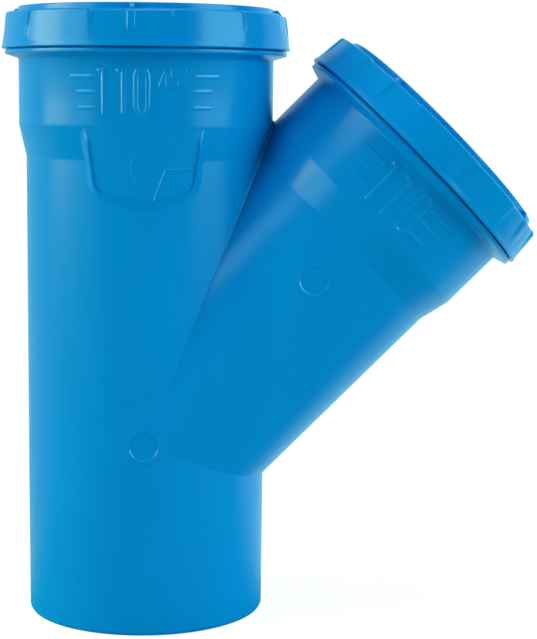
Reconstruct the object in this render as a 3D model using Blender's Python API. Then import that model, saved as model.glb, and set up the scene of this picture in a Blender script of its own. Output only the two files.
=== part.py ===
"""Single branch fitting for push-fit drain pipe.

One moulded body: a run that stands on its spigot, a branch that leaves it at an angle, and a
socket at the end of each. Every socket ends in a thin flange and a wider seal chamber. A rubber
lip seal lies in the chamber, and a retaining ring snaps over the chamber's wall and keeps it in.

Frame: metres, +Z up along the run, origin at the centre of the spigot's end. The branch lies in
the XZ plane and leans towards +X. Heights on a socket are measured from its flange, along its axis.
"""
import math

import bmesh
import bpy
from mathutils import Matrix, Vector

MM = 0.001

# The pipe that the fitting joins, and the body
PIPE_DIAMETER = 110.0 * MM          # outside of the pipes, and of the spigot
BRANCH_ANGLE = math.radians(45.0)   # between the run's axis and the branch's axis
SPIGOT_LENGTH = 64.1 * MM           # plain length below the lower crotch
SPIGOT_CHAMFER = 1.2 * MM
SPIGOT_DRAFT_LENGTH = 60.0 * MM     # length over which the spigot grows to the body's radius
BODY_DRAFT = 0.2 * MM               # how much the body's radius is larger than the spigot's
BODY_WALL = 3.4 * MM
RUN_SOCKET_SETBACK = 7.6 * MM       # the run begins to widen this far below the upper crotch
BRANCH_SOCKET_SETBACK = 6.4 * MM    # the same, along the branch

# The socket, the same on the run and on the branch
PIPE_CLEARANCE = 0.5 * MM           # on the radius, between a pipe and the socket's bore
SOCKET_WALL = 3.0 * MM
TAPER_LENGTH = 14.3 * MM            # outside, from the body's radius to the socket's
STOP_OFFSET = 1.5 * MM              # the bore begins to widen this far above the outside taper
STOP_LENGTH = 7.0 * MM              # length of the slope that stops the pipe
FLANGE_OFFSET = 46.7 * MM           # from the start of the taper to the flange's top
FLANGE_WIDTH = 6.1 * MM             # beyond the socket's wall
FLANGE_EDGE = 0.8 * MM              # thickness of its sharp edge
FLANGE_SLOPE = 2.0 * MM             # how much lower its underside lies at the socket's wall
FLANGE_FILLET = 1.2 * MM

# The seal chamber above the flange
CHAMBER_FLOOR = 2.0 * MM
CHAMBER_MOUTH = 15.0 * MM
CHAMBER_DEPTH = 4.7 * MM            # its bore is this much wider, on the radius, than the socket's
CHAMBER_WALL_BASE = 3.1 * MM        # wall of the chamber at the flange
CHAMBER_WALL_MOUTH = 1.8 * MM       # and at its mouth
SNAP_HEIGHT = 5.2 * MM              # middle of the bead that holds the ring down
SNAP_LENGTH = 2.4 * MM
SNAP_DEPTH = 0.9 * MM

# The retaining ring
FIT_GAP = 0.3 * MM                  # between the ring, the seal and the body
RING_LIFT = 2.0 * MM                # gap between the flange and the skirt
RING_FOOT_WALL = 2.8 * MM           # the skirt tapers by the mould's draft
RING_SHOULDER_WALL = 2.1 * MM
RING_PLATE = 2.4 * MM               # thickness over the chamber's mouth
RING_BEAD = 0.4 * MM                # rounded bead round the skirt's lower edge
RING_BEAD_HEIGHT = 2.4 * MM
RING_EDGE_RADIUS = 0.6 * MM
MOUTH_CLEARANCE = 0.8 * MM          # on the radius, between a pipe and the ring's mouth
COLLAR_HEIGHT = 3.1 * MM            # of the collar that stands round the mouth
COLLAR_FOOT_WALL = 4.0 * MM
COLLAR_TOP_WALL = 1.9 * MM
COLLAR_CHAMFER = 0.9 * MM           # lead-in for the pipe
RECESS_COUNT = 4                    # shallow flats round the skirt, each with a gusset at its middle
RECESS_ANGLE = math.radians(30.0)
RECESS_DEPTH = 0.6 * MM             # at the shoulder, fading out downwards
RECESS_DROP = 0.7 * MM              # how much lower the shoulder lies there
RECESS_FADE = 5.0 * MM              # above the skirt's lower edge the recess has faded out
RIDGE_HEIGHT = 0.45 * MM            # thin ridge between two recesses
RIDGE_HALF_ANGLE = math.radians(0.8)
STEP_HALF_ANGLE = math.radians(0.3)
GUSSET_WIDTH = 2.2 * MM
GUSSET_REACH = 2.4 * MM             # from the collar's foot outwards
GUSSET_FLAT = 0.6 * MM              # how far its flat top reaches outwards from there
GUSSET_TOP_GAP = 0.4 * MM           # below the collar's top
RUN_RING_TURN = math.radians(-5.0)      # where the first gusset faces, from -Y towards +X
BRANCH_RING_TURN = math.radians(-36.5)

# The rubber seal
SEAL_BODY_WALL = 3.3 * MM
SEAL_LIP_SQUEEZE = 1.1 * MM         # how far the free lip reaches inside the pipe's outside
SEAL_LIP_HEIGHT = 6.2 * MM          # of the lip's edge above the chamber's floor
SEAL_LIP_THICKNESS = 0.9 * MM

# The raised frame under the run's socket, on the side that faces -Y
FRAME_HALF_WIDTH = 21.4 * MM        # inside, at its lower corners
FRAME_CORNER_DROP = 13.1 * MM       # from the start of the taper down to its lower corners
FRAME_SAG = 5.6 * MM                # how much lower the middle of its lower edge lies
FRAME_LEAN = math.radians(7.5)      # the legs spread upwards
FRAME_CORNER_RADIUS = 5.5 * MM
FRAME_BOTTOM_RADIUS = 40.0 * MM
FRAME_RIM = 1.2 * MM                # width of the rim's crest
FRAME_FLANK = 2.8 * MM              # width of its soft outer side
FRAME_HEIGHT = 0.9 * MM             # of the crest above the field inside
FIELD_RISE = 0.7 * MM               # of the field above the body at the frame's bottom

# How finely the round forms are divided
BODY_SEGMENTS = 56
SEAL_SEGMENTS = 40
RING_ARC = math.radians(7.3)        # widest step between two columns of the ring
ARC_STEPS = 3
OVERSHOOT = 1.0 * MM                # how far a cutter reaches past the face it opens
BURIED = 1.2 * MM                   # how far an added form reaches into the body
SUNK_EDGE = 0.3 * MM                # how far its edge dips below the surface that it grows from

# Values that follow from them
PIPE_RADIUS = PIPE_DIAMETER / 2
BODY_RADIUS = PIPE_RADIUS + BODY_DRAFT
BORE_RADIUS = BODY_RADIUS - BODY_WALL
SOCKET_BORE_RADIUS = PIPE_RADIUS + PIPE_CLEARANCE
SOCKET_RADIUS = SOCKET_BORE_RADIUS + SOCKET_WALL
FLANGE_RADIUS = SOCKET_RADIUS + FLANGE_WIDTH
CHAMBER_RADIUS = SOCKET_BORE_RADIUS + CHAMBER_DEPTH
CHAMBER_OUTER_BASE = CHAMBER_RADIUS + CHAMBER_WALL_BASE
CHAMBER_OUTER_MOUTH = CHAMBER_RADIUS + CHAMBER_WALL_MOUTH
MOUTH_RADIUS = PIPE_RADIUS + MOUTH_CLEARANCE
COLLAR_FOOT_RADIUS = MOUTH_RADIUS + COLLAR_FOOT_WALL
COLLAR_TOP_RADIUS = MOUTH_RADIUS + COLLAR_TOP_WALL
RING_RADIUS = CHAMBER_OUTER_MOUTH + FIT_GAP + RING_SHOULDER_WALL
RING_SHOULDER = CHAMBER_MOUTH + FIT_GAP + RING_PLATE
RING_TOP = RING_SHOULDER + COLLAR_HEIGHT

# Where two pipes of the body's radius meet, the crotches lie this far from the crossing of the axes
LOWER_CROTCH = BODY_RADIUS * math.tan(BRANCH_ANGLE / 2)
UPPER_CROTCH = BODY_RADIUS / math.tan(BRANCH_ANGLE / 2)
JUNCTION_HEIGHT = SPIGOT_LENGTH + LOWER_CROTCH
RUN_TAPER = JUNCTION_HEIGHT + UPPER_CROTCH - RUN_SOCKET_SETBACK
BRANCH_TAPER = UPPER_CROTCH - BRANCH_SOCKET_SETBACK
FRAME_TOP = RUN_TAPER + TAPER_LENGTH
FRAME_BOTTOM = RUN_TAPER - FRAME_CORNER_DROP - FRAME_SAG
RUN_FLANGE = RUN_TAPER + FLANGE_OFFSET
BRANCH_FLANGE = BRANCH_TAPER + FLANGE_OFFSET
JUNCTION_RELIEF = 0.15 * MM         # the branch starts this much slimmer, inside the run

RUN_AXIS = Matrix.Identity(4)
BRANCH_AXIS = Matrix.Translation((0, 0, JUNCTION_HEIGHT)) @ Matrix.Rotation(BRANCH_ANGLE, 4, "Y")


def clear_scene():
    for obj in list(bpy.data.objects):
        bpy.data.objects.remove(obj, do_unlink=True)


def plastic(name, colour, roughness):
    material = bpy.data.materials.new(name)
    material.use_nodes = True
    shader = material.node_tree.nodes["Principled BSDF"]
    shader.inputs["Base Color"].default_value = (*colour, 1.0)
    shader.inputs["Roughness"].default_value = roughness
    shader.inputs["Metallic"].default_value = 0.0
    return material


def add_object(name, mesh, material=None, matrix=None):
    obj = bpy.data.objects.new(name, mesh)
    bpy.context.scene.collection.objects.link(obj)
    obj.matrix_world = matrix or Matrix.Identity(4)
    if material:
        mesh.materials.append(material)
    return obj


def add_guide(name, mesh, matrix=None):
    """An object that only shapes another one."""
    obj = add_object(name, mesh, matrix=matrix)
    obj.hide_render = True
    obj.display_type = "WIRE"
    return obj


def combine(target, other, operation):
    modifier = target.modifiers.new(f"{operation.lower()} {other.name}", "BOOLEAN")
    modifier.operation = operation
    modifier.object = other
    modifier.solver = "EXACT"


def mesh_from(name, bm):
    bmesh.ops.recalc_face_normals(bm, faces=bm.faces)
    mesh = bpy.data.meshes.new(name)
    bm.to_mesh(mesh)
    bm.free()
    mesh.shade_smooth()
    mesh.set_sharp_from_angle(angle=math.radians(30))
    return mesh


# Outlines

def arc(centre, radius, start, end, steps=ARC_STEPS):
    """Points of an arc in an outline, both ends included; angles in radians from the first axis."""
    points = []
    for i in range(steps + 1):
        angle = start + (end - start) * i / steps
        points.append((centre[0] + radius * math.cos(angle), centre[1] + radius * math.sin(angle)))
    return points


def rounded_corner(before, corner, after, radius, steps):
    """The arc that rounds one corner of an outline."""
    corner = Vector(corner)
    to_before = (Vector(before) - corner).normalized()
    to_after = (Vector(after) - corner).normalized()
    half = to_before.angle(to_after) / 2
    centre = corner + (to_before + to_after).normalized() * (radius / math.sin(half))
    start = corner + to_before * (radius / math.tan(half)) - centre
    end = corner + to_after * (radius / math.tan(half)) - centre
    sweep = start.angle_signed(end)
    points = []
    for i in range(steps + 1):
        point = start.copy()
        point.rotate(Matrix.Rotation(-sweep * i / steps, 2))
        points.append(tuple(centre + point))
    return points


# Turned forms

def turned(name, outline, segments, phase=0.0):
    """A closed form turned about Z from an outline of (radius, height) points.

    An outline that starts and ends on the axis gives a solid, and one that stays off it a ring.
    """
    bm = bmesh.new()
    columns = []
    for i in range(segments):
        angle = math.tau * (i + phase) / segments
        turn = Vector((math.cos(angle), math.sin(angle)))
        columns.append([bm.verts.new((turn.x * r, turn.y * r, z)) for r, z in outline if r > 0])
    poles = [bm.verts.new((0, 0, z)) for r, z in outline if r == 0]
    solid = len(poles) == 2
    count = len(columns[0])
    for i, column in enumerate(columns):
        following = columns[(i + 1) % segments]
        for k in range(count if not solid else count - 1):
            up = (k + 1) % count
            bm.faces.new((column[k], following[k], following[up], column[up]))
        if solid:
            bm.faces.new((poles[0], following[0], column[0]))
            bm.faces.new((poles[1], column[-1], following[-1]))
    return mesh_from(name, bm)


def socket_outline(start):
    """Outside of a socket, from where it begins to widen up to the chamber's mouth."""
    flange = start + FLANGE_OFFSET
    under = flange - FLANGE_EDGE - FLANGE_SLOPE
    fillet = arc((SOCKET_RADIUS + FLANGE_FILLET, under - FLANGE_FILLET), FLANGE_FILLET,
                 math.pi, math.pi / 2 + math.atan2(FLANGE_SLOPE, FLANGE_RADIUS - SOCKET_RADIUS))
    snap = flange + SNAP_HEIGHT
    at_snap = chamber_outside(SNAP_HEIGHT)
    return [
        (BODY_RADIUS, start),
        (SOCKET_RADIUS, start + TAPER_LENGTH),
        *fillet,
        (FLANGE_RADIUS, flange - FLANGE_EDGE),
        (FLANGE_RADIUS, flange),
        (CHAMBER_OUTER_BASE, flange),
        (chamber_outside(SNAP_HEIGHT - SNAP_LENGTH / 2), snap - SNAP_LENGTH / 2),
        (at_snap + SNAP_DEPTH, snap - SNAP_LENGTH / 6),
        (at_snap + SNAP_DEPTH, snap + SNAP_LENGTH / 6),
        (chamber_outside(SNAP_HEIGHT + SNAP_LENGTH / 2), snap + SNAP_LENGTH / 2),
        (CHAMBER_OUTER_MOUTH, flange + CHAMBER_MOUTH),
    ]


def chamber_outside(height):
    """Radius of the chamber's drafted wall at a height above the flange."""
    share = height / CHAMBER_MOUTH
    return CHAMBER_OUTER_BASE + (CHAMBER_OUTER_MOUTH - CHAMBER_OUTER_BASE) * share


def socket_bore_outline(start):
    """Inside of a socket: the pipe's stop, the socket's bore and the seal chamber."""
    flange = start + FLANGE_OFFSET
    stop = start + STOP_OFFSET
    return [
        (BORE_RADIUS, stop),
        (SOCKET_BORE_RADIUS, stop + STOP_LENGTH),
        (SOCKET_BORE_RADIUS, flange + CHAMBER_FLOOR),
        (CHAMBER_RADIUS, flange + CHAMBER_FLOOR),
        (CHAMBER_RADIUS, flange + CHAMBER_MOUTH + OVERSHOOT),
        (0, flange + CHAMBER_MOUTH + OVERSHOOT),
    ]


def run_bore_outline():
    return [(0, -OVERSHOOT), (BORE_RADIUS, -OVERSHOOT), *socket_bore_outline(RUN_TAPER)]


def branch_bore_outline():
    slim = BORE_RADIUS - JUNCTION_RELIEF
    return [(0, 0), (slim, 0), (BORE_RADIUS, BODY_WALL), *socket_bore_outline(BRANCH_TAPER)]


def run_outline():
    return [
        (0, 0),
        (PIPE_RADIUS - SPIGOT_CHAMFER / 2, 0),
        (PIPE_RADIUS, SPIGOT_CHAMFER),
        (BODY_RADIUS, SPIGOT_DRAFT_LENGTH),
        *socket_outline(RUN_TAPER),
        (0, RUN_FLANGE + CHAMBER_MOUTH),
    ]


def branch_outline():
    return [
        (0, 0),
        (BODY_RADIUS - JUNCTION_RELIEF, 0),
        (BODY_RADIUS, BODY_WALL),
        *socket_outline(BRANCH_TAPER),
        (0, BRANCH_FLANGE + CHAMBER_MOUTH),
    ]


# The raised frame on the run

def surface_radius(height):
    """Outside radius of the run near the frame, without the frame."""
    share = min(max((height - RUN_TAPER) / TAPER_LENGTH, 0.0), 1.0)
    return BODY_RADIUS + (SOCKET_RADIUS - BODY_RADIUS) * share


def field_radius(height):
    """Radius of the smooth field inside the frame: one slope from the frame's bottom to the socket."""
    share = (height - FRAME_BOTTOM) / (FRAME_TOP - FRAME_BOTTOM)
    low = BODY_RADIUS + FIELD_RISE
    return low + (SOCKET_RADIUS - SUNK_EDGE - low) * share


def frame_path(grow=0.0):
    """The U of the frame's inner edge, from the left leg's top round to the right leg's top.

    Points are (distance round the run, height); grow moves the U outwards.
    """
    bottom = FRAME_BOTTOM - grow
    corner = FRAME_BOTTOM + FRAME_SAG - grow
    half = FRAME_HALF_WIDTH + grow
    slope = math.atan2(FRAME_SAG, half)
    bottom_radius = FRAME_BOTTOM_RADIUS + grow
    keel = (0.0, bottom - bottom_radius * (1 / math.cos(slope) - 1))
    left = (-half, corner)
    left_top = (-half - (FRAME_TOP - corner) * math.tan(FRAME_LEAN), FRAME_TOP)
    right = (half, corner)
    right_top = (-left_top[0], FRAME_TOP)
    middle = ((left_top[0] + left[0]) / 2, (left_top[1] + left[1]) / 2)
    radius = FRAME_CORNER_RADIUS + grow
    return [left_top, middle,
            *rounded_corner(left_top, left, keel, radius, 2 * ARC_STEPS),
            *rounded_corner(left, keel, right, bottom_radius, 2 * ARC_STEPS),
            *rounded_corner(keel, right, right_top, radius, 2 * ARC_STEPS),
            (-middle[0], middle[1]), right_top]


def on_run(distance, height, radius):
    """Place on the run, at a distance round it from the line that faces -Y."""
    angle = distance / BODY_RADIUS
    return Vector((radius * math.sin(angle), -radius * math.cos(angle), height))


def frame_rim():
    """The rim of the frame: a crest with a steep inner side and a soft outer side, swept along the U."""
    bm = bmesh.new()
    rows = []
    rails = [frame_path(0.0), frame_path(FRAME_RIM), frame_path(FRAME_RIM + FRAME_FLANK)]
    for inner, crest, outer in zip(*rails):
        fade = min(max((FRAME_TOP - inner[1]) / (FRAME_TOP - FRAME_BOTTOM), 0.0), 1.0)
        crest_inner = field_radius(inner[1]) + FRAME_HEIGHT * fade
        crest_outer = field_radius(crest[1]) + FRAME_HEIGHT * fade
        rows.append([bm.verts.new(on_run(*place, radius)) for place, radius in (
            (inner, surface_radius(inner[1]) - BURIED),
            (inner, crest_inner),
            (crest, crest_outer),
            (outer, surface_radius(outer[1]) - SUNK_EDGE),
            (outer, surface_radius(outer[1]) - BURIED))])
    for row, following in zip(rows, rows[1:]):
        for k in range(len(row)):
            j = (k + 1) % len(row)
            bm.faces.new((row[k], row[j], following[j], following[k]))
    bm.faces.new(rows[0])
    bm.faces.new(rows[-1])
    return mesh_from("frame_rim", bm)


def frame_field():
    """The field inside the frame, a tongue of the socket's surface that runs down to the rim."""
    path = frame_path(FRAME_RIM / 2)
    half = len(path) // 2
    left = path[:half + 1]
    columns = 2 * ARC_STEPS
    bm = bmesh.new()
    outer, inner = [], []
    for row, (distance, height) in enumerate(left):
        lowest = row == half
        places = [0.0] if lowest else [distance * (1 - 2 * k / columns) for k in range(columns + 1)]
        outer.append([bm.verts.new(on_run(d, height, field_radius(height))) for d in places])
        inner.append([bm.verts.new(on_run(d, height, surface_radius(height) - BURIED)) for d in places])
    for sheet in (outer, inner):
        for row, following in zip(sheet, sheet[1:]):
            for k in range(columns):
                if len(following) > 1:
                    bm.faces.new((row[k], row[k + 1], following[k + 1], following[k]))
                else:
                    bm.faces.new((row[k], row[k + 1], following[0]))
    for edge in (0, -1):
        for i in range(len(left) - 1):
            bm.faces.new((outer[i][edge], outer[i + 1][edge], inner[i + 1][edge], inner[i][edge]))
    for k in range(columns):
        bm.faces.new((outer[0][k], outer[0][k + 1], inner[0][k + 1], inner[0][k]))
    return mesh_from("frame_field", bm)


# Pieces

def make_body(material):
    body = add_object("body", turned("body", run_outline(), BODY_SEGMENTS), material)
    branch = add_guide("branch_form", turned("branch_form", branch_outline(), BODY_SEGMENTS, 0.5), BRANCH_AXIS)
    field = add_guide("frame_field", frame_field())
    rim = add_guide("frame_rim", frame_rim())
    run_bore = add_guide("run_bore", turned("run_bore", run_bore_outline(), BODY_SEGMENTS))
    branch_bore = add_guide("branch_bore", turned("branch_bore", branch_bore_outline(), BODY_SEGMENTS, 0.5),
                            BRANCH_AXIS)
    for added in (branch, field, rim):
        combine(body, added, "UNION")
    for cutter in (run_bore, branch_bore):
        combine(body, cutter, "DIFFERENCE")
    return body


def ring_columns():
    """Angles of the ring's columns over one recess and the plain stretch after it.

    Each is (angle from the recess's middle, is it recessed, does it carry the ridge).
    """
    pitch = math.tau / RECESS_COUNT
    edge = RECESS_ANGLE / 2
    rib = GUSSET_WIDTH / 4 / RING_RADIUS
    columns = [(0.0, False, False)]

    def stretch(start, end, recessed):
        steps = math.ceil((end - start) / RING_ARC)
        for i in range(steps + 1):
            columns.append((start + (end - start) * i / steps, recessed, False))

    stretch(rib, edge - STEP_HALF_ANGLE, True)
    stretch(edge + STEP_HALF_ANGLE, pitch / 2 - RIDGE_HALF_ANGLE, False)
    columns.append((pitch / 2, False, True))
    stretch(pitch / 2 + RIDGE_HALF_ANGLE, pitch - edge - STEP_HALF_ANGLE, False)
    stretch(pitch - edge + STEP_HALF_ANGLE, pitch - rib, True)
    return columns


def ring_outline(recessed, ridge):
    """Section of the retaining ring at one column: outside first, then the mouth and the inside."""
    foot = chamber_outside(RING_LIFT) + FIT_GAP + RING_FOOT_WALL
    top = RING_SHOULDER - (RECESS_DROP if recessed else 0.0)
    bead = RING_LIFT + RING_BEAD_HEIGHT
    fade_start = RING_LIFT + RECESS_FADE

    def skirt(height):
        share = (height - RING_LIFT) / (RING_SHOULDER - RING_LIFT)
        fade = max((height - fade_start) / (RING_SHOULDER - fade_start), 0.0)
        sunk = RECESS_DEPTH * fade if recessed else 0.0
        proud = RIDGE_HEIGHT if ridge and height > bead else 0.0
        return foot - RING_BEAD + (RING_RADIUS - foot + RING_BEAD) * share - sunk + proud

    snap_low, snap_high = SNAP_HEIGHT - SNAP_LENGTH / 2 - FIT_GAP, SNAP_HEIGHT + SNAP_LENGTH / 2 + FIT_GAP
    groove = chamber_outside(SNAP_HEIGHT) + SNAP_DEPTH + FIT_GAP
    inner_top = CHAMBER_MOUTH + FIT_GAP
    return [
        (foot - RING_BEAD, RING_LIFT),
        (foot, RING_LIFT + RING_BEAD_HEIGHT / 3),
        (foot - RING_BEAD / 3, RING_LIFT + 2 * RING_BEAD_HEIGHT / 3),
        (skirt(bead), bead),
        (skirt(fade_start), fade_start),
        (skirt(top - RING_EDGE_RADIUS), top - RING_EDGE_RADIUS),
        (skirt(top) - RING_EDGE_RADIUS, top),
        (COLLAR_FOOT_RADIUS, top),
        (COLLAR_TOP_RADIUS, RING_TOP),
        (MOUTH_RADIUS + COLLAR_CHAMFER / 2, RING_TOP),
        (MOUTH_RADIUS, RING_TOP - COLLAR_CHAMFER),
        (MOUTH_RADIUS, inner_top),
        (chamber_outside(CHAMBER_MOUTH) + FIT_GAP, inner_top),
        (chamber_outside(snap_high) + FIT_GAP, snap_high),
        (groove, snap_high - FIT_GAP),
        (groove, snap_low + FIT_GAP),
        (chamber_outside(snap_low) + FIT_GAP, snap_low),
        (chamber_outside(RING_LIFT) + FIT_GAP, RING_LIFT),
    ]


def ring_mesh():
    """The ring's shell, one column of its section after another."""
    bm = bmesh.new()
    pitch = math.tau / RECESS_COUNT
    columns = []
    for k in range(RECESS_COUNT):
        for angle, recessed, ridge in ring_columns():
            turn = k * pitch + angle - math.pi / 2
            columns.append([bm.verts.new((r * math.cos(turn), r * math.sin(turn), z))
                            for r, z in ring_outline(recessed, ridge)])
    for column, following in zip(columns, columns[1:] + columns[:1]):
        for k in range(len(column)):
            up = (k + 1) % len(column)
            bm.faces.new((column[k], following[k], following[up], column[up]))
    return mesh_from("retaining_ring", bm)


def gusset_mesh():
    """The gussets that prop the collar, one in the middle of each recess."""
    bm = bmesh.new()
    base = RING_SHOULDER - RECESS_DROP - BURIED / 2
    top = RING_TOP - GUSSET_TOP_GAP
    root = COLLAR_TOP_RADIUS - BURIED / 2
    end = COLLAR_FOOT_RADIUS + GUSSET_REACH
    outline = [(root, base), (end, base), (end, base + BURIED), (COLLAR_FOOT_RADIUS + GUSSET_FLAT, top), (root, top)]
    for k in range(RECESS_COUNT):
        turn = Matrix.Rotation(k * math.tau / RECESS_COUNT - math.pi / 2, 3, "Z")
        sides = []
        for y in (-GUSSET_WIDTH / 2, GUSSET_WIDTH / 2):
            sides.append([bm.verts.new(turn @ Vector((r, y, z))) for r, z in outline])
            bm.faces.new(sides[-1])
        for i in range(len(outline)):
            j = (i + 1) % len(outline)
            bm.faces.new((sides[0][i], sides[0][j], sides[1][j], sides[1][i]))
    return mesh_from("gussets", bm)


def seal_mesh():
    """A lip seal: a band against the chamber's wall and a lip that slopes inwards, down the socket."""
    outside = CHAMBER_RADIUS - FIT_GAP
    inside = outside - SEAL_BODY_WALL
    top = CHAMBER_MOUTH - FIT_GAP - CHAMBER_FLOOR
    lip = PIPE_RADIUS - SEAL_LIP_SQUEEZE
    waist = outside - SEAL_BODY_WALL / 2
    outline = [
        (outside, FIT_GAP),
        (outside, top),
        (inside, top),
        (lip, SEAL_LIP_HEIGHT),
        (lip + SEAL_LIP_THICKNESS, SEAL_LIP_HEIGHT - SEAL_LIP_THICKNESS / 2),
        (waist, top - SEAL_BODY_WALL),
        (waist, SEAL_LIP_HEIGHT),
        (inside, SEAL_LIP_HEIGHT / 2),
        (inside, FIT_GAP + SEAL_LIP_THICKNESS),
        (inside + SEAL_LIP_THICKNESS, FIT_GAP),
    ]
    return turned("seal", [(r, z + CHAMBER_FLOOR) for r, z in outline], SEAL_SEGMENTS)


def make_socket_fittings(prefix, matrix, turn, ring, gussets, seal, blue, rubber):
    """The seal and the retaining ring of one socket; matrix stands on the socket's flange."""
    add_object(f"{prefix}_seal", seal.copy(), rubber, matrix)
    turned_matrix = matrix @ Matrix.Rotation(turn, 4, "Z")
    cap = add_object(f"{prefix}_retaining_ring", ring.copy(), blue, turned_matrix)
    combine(cap, add_guide(f"{prefix}_gussets", gussets.copy(), turned_matrix), "UNION")


def main():
    clear_scene()
    body_blue = plastic("blue polypropylene", (0.0, 0.216, 0.578), 0.38)
    ring_blue = plastic("blue polypropylene, ring", (0.0, 0.238, 0.617), 0.36)
    rubber = plastic("black rubber", (0.012, 0.012, 0.013), 0.62)
    make_body(body_blue)
    ring, gussets, seal = ring_mesh(), gusset_mesh(), seal_mesh()
    on_run_flange = RUN_AXIS @ Matrix.Translation((0, 0, RUN_FLANGE))
    on_branch_flange = BRANCH_AXIS @ Matrix.Translation((0, 0, BRANCH_FLANGE))
    make_socket_fittings("run", on_run_flange, RUN_RING_TURN, ring, gussets, seal, ring_blue, rubber)
    make_socket_fittings("branch", on_branch_flange, BRANCH_RING_TURN, ring, gussets, seal, ring_blue, rubber)


main()
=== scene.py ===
# %% [markdown]
# # A branch fitting for drain pipe, from its measured frame to its finish
#
# The object is a fitting for 110 mm drain pipe: a straight run that stands on its spigot, and a
# branch that leaves it at 45 degrees. Each of them ends in a socket with a thin flange, a rubber
# lip seal and a retaining ring that snaps over the seal. This lesson builds its looks around a
# measured model, the frame. The frame gives every piece its place and its largest size, so the
# first cell loads it and lists its nodes before anything is added.

# %% Load the measured frame
import math

import bmesh
import bpy
import numpy as np
from mathutils import Matrix, Vector
from mathutils.bvhtree import BVHTree


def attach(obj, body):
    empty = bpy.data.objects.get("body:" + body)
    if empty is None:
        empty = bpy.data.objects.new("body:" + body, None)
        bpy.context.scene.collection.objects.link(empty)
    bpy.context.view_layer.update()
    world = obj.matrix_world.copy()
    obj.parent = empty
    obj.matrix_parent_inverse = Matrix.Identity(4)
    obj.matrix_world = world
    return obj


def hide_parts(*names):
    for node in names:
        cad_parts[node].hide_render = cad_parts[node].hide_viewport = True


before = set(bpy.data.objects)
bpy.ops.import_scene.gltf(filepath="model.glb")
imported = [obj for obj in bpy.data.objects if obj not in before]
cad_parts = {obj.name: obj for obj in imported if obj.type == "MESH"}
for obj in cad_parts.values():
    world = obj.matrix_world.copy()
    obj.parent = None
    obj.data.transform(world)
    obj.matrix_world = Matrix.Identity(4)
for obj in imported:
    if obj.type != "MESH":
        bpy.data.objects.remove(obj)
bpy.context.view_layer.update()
MM = 0.001
print("nodes in the frame:", sorted(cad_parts))

# %% [markdown]
# ## Sizes
#
# All the sizes below are in millimetres, as on a drawing. Heights on a socket start at its flange.
# Two pipes of one radius that meet at an angle have their crotches at the radius times, or divided
# by, the tangent of half that angle, so the crossing of the axes and the sockets follow from that.

# %% Sizes of the pipe, the body and the socket
HALF_ANGLE = math.tan(math.radians(45.0) / 2)
PIPE, BODY, BORE = 55.0, 55.2, 51.8
SOCKET, SOCKET_BORE = 58.5, 55.5
FLANGE, CHAMBER = 64.6, 60.2
CHAMBER_BASE, CHAMBER_MOUTH = 63.3, 62.0
TAPER, FLANGE_AT, MOUTH_AT = 14.3, 46.7, 15.0
CROSSING = 64.1 + BODY * HALF_ANGLE
RUN_TAPER = BODY / HALF_ANGLE - 7.6
BRANCH_TAPER = BODY / HALF_ANGLE - 6.4
UP, ACROSS_RUN = np.array([0.0, 0.0, 1.0]), np.array([1.0, 0.0, 0.0])
ALONG_BRANCH = np.array([math.sqrt(0.5), 0.0, math.sqrt(0.5)])
ACROSS_BRANCH = np.array([math.sqrt(0.5), 0.0, -math.sqrt(0.5)])
RUN_FLANGE_PLACE = Matrix.Translation((0, 0, (CROSSING + RUN_TAPER + FLANGE_AT) * MM))
BRANCH_PLACE = Matrix.Translation((0, 0, CROSSING * MM)) @ Matrix.Rotation(math.radians(45.0), 4, "Y")
BRANCH_FLANGE_PLACE = BRANCH_PLACE @ Matrix.Translation((0, 0, (BRANCH_TAPER + FLANGE_AT) * MM))
print(f"axes cross at {CROSSING:.2f} mm, flanges at {RUN_TAPER + FLANGE_AT:.2f} "
      f"and {BRANCH_TAPER + FLANGE_AT:.2f} mm from there")

# %% [markdown]
# ## A rounded outline
#
# A moulded part has no knife-sharp corner: each one carries a small radius, and that radius is what
# catches the light. An outline is therefore written as corners with a radius each, and one helper
# turns it into points. Everything that is turned or swept below starts from such an outline.

# %% Helper: corners with radii to points
def rounded(corners, steps=4, closed=False):
    """Points of an outline whose corners are (radius from the axis, height, corner radius)."""
    points = []
    count = len(corners)
    for i, (x, y, radius) in enumerate(corners):
        at = np.array([x, y], float)
        if radius == 0 or (not closed and i in (0, count - 1)):
            points.append(at)
            continue
        before = np.array(corners[i - 1][:2], float) - at
        after = np.array(corners[(i + 1) % count][:2], float) - at
        before /= np.linalg.norm(before)
        after /= np.linalg.norm(after)
        half = math.acos(float(np.clip(before @ after, -1, 1))) / 2
        middle = (before + after) / np.linalg.norm(before + after)
        centre = at + middle * radius / math.sin(half)
        start = at + before * radius / math.tan(half) - centre
        sweep = math.pi - 2 * half
        turn = np.sign(start[0] * middle[1] - start[1] * middle[0]) * -1
        for k in range(steps + 1):
            angle = turn * sweep * k / steps
            cos, sin = math.cos(angle), math.sin(angle)
            points.append(centre + np.array([start[0] * cos - start[1] * sin,
                                             start[0] * sin + start[1] * cos]))
    return np.array(points)


sample = rounded([(0, 0, 0), (10, 0, 2), (10, 10, 0)])
print("a rounded corner:", np.round(sample, 2).tolist())

# %% [markdown]
# ## The body's walls
#
# The body is two pipes that run into each other, so its outside and its inside are each two turned
# surfaces that meet along a crease. A Boolean union would find that crease, but it would leave long
# thin triangles whose shading shows. Here the crease is worked out first, from the two surfaces
# themselves, and the columns of both walls hang on its points. Rows lie close together near the
# crease and at the edges of the taper, and far apart where the wall is plain.

# %% The walls as radii along an axis
TAPER_EDGE, SPIGOT_DRAFT, SPIGOT_CHAMFER = 5.0, 60.0, 1.2


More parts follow.
